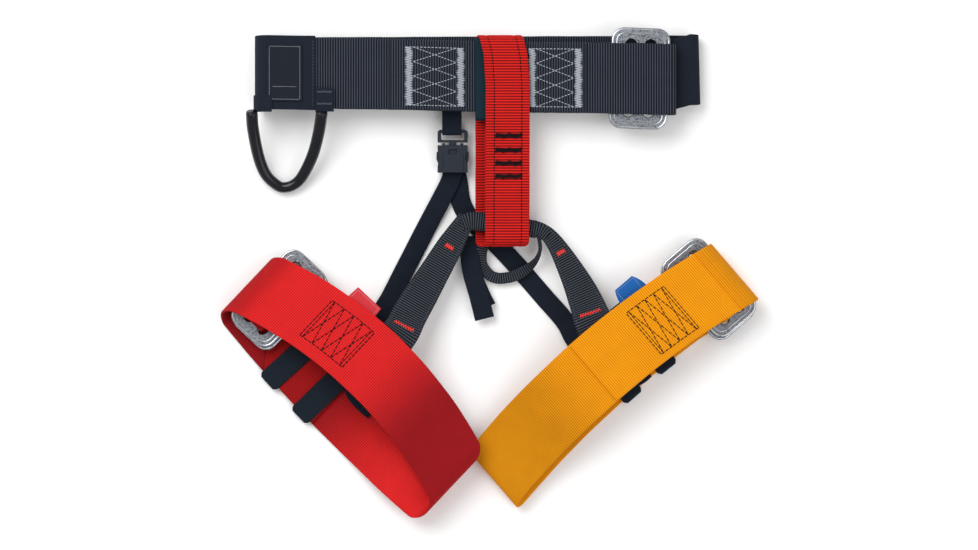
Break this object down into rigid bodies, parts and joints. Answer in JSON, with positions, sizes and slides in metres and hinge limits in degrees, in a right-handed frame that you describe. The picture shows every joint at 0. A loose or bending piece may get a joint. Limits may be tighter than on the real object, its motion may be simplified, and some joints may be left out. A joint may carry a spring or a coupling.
{
  "type": "tree climbing saddle",
  "caption": "Arborist climbing saddle laid flat: waist belt with a double plate buckle, sewn tie-in loop, leg bridge, risers and adjustable leg loops.",
  "frame": {"origin": "centre of the saddle's outline as it lies, on the surface it lies on", "axes": "+X towards the wearer's left side, along the waist belt; +Y from the leg loops to the waist belt; +Z out of the surface, front side up"},
  "size_m": [0.552, 0.5015, 0.047],
  "materials": {
    "navy_webbing": "ribbed woven polyamide",
    "smooth_navy": "close-woven smooth tape",
    "label_cloth": "woven label",
    "wear_cloth": "smooth tubular cloth",
    "red_webbing": "ribbed woven polyamide",
    "red_webbing_inner": "ribbed woven polyamide, shaded",
    "yellow_webbing": "ribbed woven polyamide",
    "cast_plate": "mottled rough face, polished rims",
    "buckle_plastic": "satin moulded",
    "gloss_tube": "glossy tube",
    "elastic": "woven elastic",
    "black_thread": "bonded thread",
    "red_thread": "bonded thread",
    "red_tag": "woven tag",
    "blue_tag": "woven tag"
  },
  "bodies": {
    "belt": {"belt_webbing": "navy_webbing", "belt_front_layer": "navy_webbing", "belt_left_sleeve": "smooth_navy", "belt_label": "label_cloth", "wear_sleeve": "wear_cloth", "belt_end": "smooth_navy", "waist_frame_plate": "cast_plate", "gear_tab_right": "smooth_navy", "gear_tab_left": "smooth_navy", "leg_bridge": "navy_webbing", "right_riser_top": "navy_webbing", "left_riser_top": "navy_webbing", "right_riser_bartack_top": "red_thread", "left_riser_bartack_top": "red_thread", "right_rear_strap_top": "navy_webbing", "left_rear_strap_top": "navy_webbing", "strap_tail_back": "navy_webbing", "strap_tail_front": "navy_webbing", "riser_socket": "buckle_plastic"},
    "waist_slider": {"waist_slider_plate": "cast_plate"},
    "gear_loop": {"gear_loop_tube": "gloss_tube"},
    "tie_in_loop": {"attachment_loop": "red_webbing", "loop_bartack_1": "black_thread", "loop_bartack_2": "black_thread", "loop_bartack_3": "black_thread", "loop_bartack_4": "black_thread"},
    "small_loop": {"accessory_loop": "navy_webbing"},
    "right_leg": {"right_leg_band": "red_webbing", "right_leg_overlap": "red_webbing", "right_leg_tail": "red_webbing_inner", "right_frame_plate": "cast_plate", "right_tag": "red_tag", "right_riser_low": "navy_webbing", "right_riser_bartack_low": "red_thread", "right_rear_strap_low": "navy_webbing"},
    "right_slider": {"right_slider_plate": "cast_plate"},
    "right_outer_keeper": {"right_keeper_1": "elastic"},
    "right_inner_keeper": {"right_keeper_2": "elastic"},
    "left_leg": {"left_leg_band": "yellow_webbing", "left_leg_overlap": "yellow_webbing", "left_leg_tail": "yellow_webbing", "left_frame_plate": "cast_plate", "left_tag": "blue_tag", "left_riser_low": "navy_webbing", "left_riser_bartack_low": "red_thread", "left_rear_strap_low": "navy_webbing"},
    "left_slider": {"left_slider_plate": "cast_plate"},
    "left_outer_keeper": {"left_keeper_1": "elastic"},
    "left_inner_keeper": {"left_keeper_2": "elastic"},
    "plug": {"riser_plug": "buckle_plastic", "plug_strap": "navy_webbing"},
    "left_prong": {"plug_prong_left": "buckle_plastic"},
    "right_prong": {"plug_prong_right": "buckle_plastic"}
  },
  "joints": [
    {"name": "right_leg_fold", "type": "hinge", "parent": "belt", "child": "right_leg", "pos_m": [-0.062, -0.01, 0.0252], "axis": [-0.7331, 0.6801, 0], "range_deg": [0, 50]},
    {"name": "left_leg_fold", "type": "hinge", "parent": "belt", "child": "left_leg", "pos_m": [0.096, -0.018, 0.0262], "axis": [-0.753, -0.658, 0], "range_deg": [0, 50]},
    {"name": "waist_slider_shift", "type": "slide", "parent": "belt", "child": "waist_slider", "axis": [-0.9992, 0.0401, 0], "range_m": [0, 0.0035]},
    {"name": "right_slider_shift", "type": "slide", "parent": "right_leg", "child": "right_slider", "axis": [0.7271, -0.6866, 0], "range_m": [0, 0.0035]},
    {"name": "left_slider_shift", "type": "slide", "parent": "left_leg", "child": "left_slider", "axis": [-0.7593, -0.6508, 0], "range_m": [0, 0.0035]},
    {"name": "right_outer_keeper_slide", "type": "slide", "parent": "right_leg", "child": "right_outer_keeper", "axis": [0.6702, -0.7422, 0], "range_m": [-0.005, 0.008]},
    {"name": "right_inner_keeper_slide", "type": "slide", "parent": "right_leg", "child": "right_inner_keeper", "axis": [0.692, -0.7219, 0], "range_m": [-0.008, 0.004]},
    {"name": "left_outer_keeper_slide", "type": "slide", "parent": "left_leg", "child": "left_outer_keeper", "axis": [-0.7818, -0.6235, 0], "range_m": [-0.008, 0.008]},
    {"name": "left_inner_keeper_slide", "type": "slide", "parent": "left_leg", "child": "left_inner_keeper", "axis": [-0.752, -0.6592, 0], "range_m": [-0.008, 0.008]},
    {"name": "gear_loop_swing", "type": "hinge", "parent": "belt", "child": "gear_loop", "pos_m": [-0.2055, 0.1652, 0.0412], "axis": [-1, 0, 0], "range_deg": [0, 90]},
    {"name": "tie_in_loop_slide", "type": "slide", "parent": "belt", "child": "tie_in_loop", "axis": [1, 0, 0], "range_m": [-0.003, 0.003]},
    {"name": "small_loop_swing", "type": "hinge", "parent": "belt", "child": "small_loop", "pos_m": [0.0002, -0.0016, 0.0058], "axis": [-0.8346, -0.5112, -0.2054], "range_deg": [0, 60]},
    {"name": "plug_pull", "type": "slide", "parent": "belt", "child": "plug", "axis": [0, 1, 0], "range_m": [0, 0.022]},
    {"name": "left_prong_pinch", "type": "hinge", "parent": "plug", "child": "left_prong", "pos_m": [-0.0468, 0.133, 0.0099], "axis": [0, 0, 1], "range_deg": [0, 7], "stiffness_Nm_per_rad": 0.02},
    {"name": "right_prong_pinch", "type": "hinge", "parent": "plug", "child": "right_prong", "pos_m": [-0.0278, 0.133, 0.0099], "axis": [0, 0, -1], "range_deg": [0, 7], "stiffness_Nm_per_rad": 0.02}
  ],
  "couplings": [
    {"joint": "left_leg_fold", "follows": "right_leg_fold", "ratio": 1},
    {"joint": "right_prong_pinch", "follows": "left_prong_pinch", "ratio": 1}
  ]
}
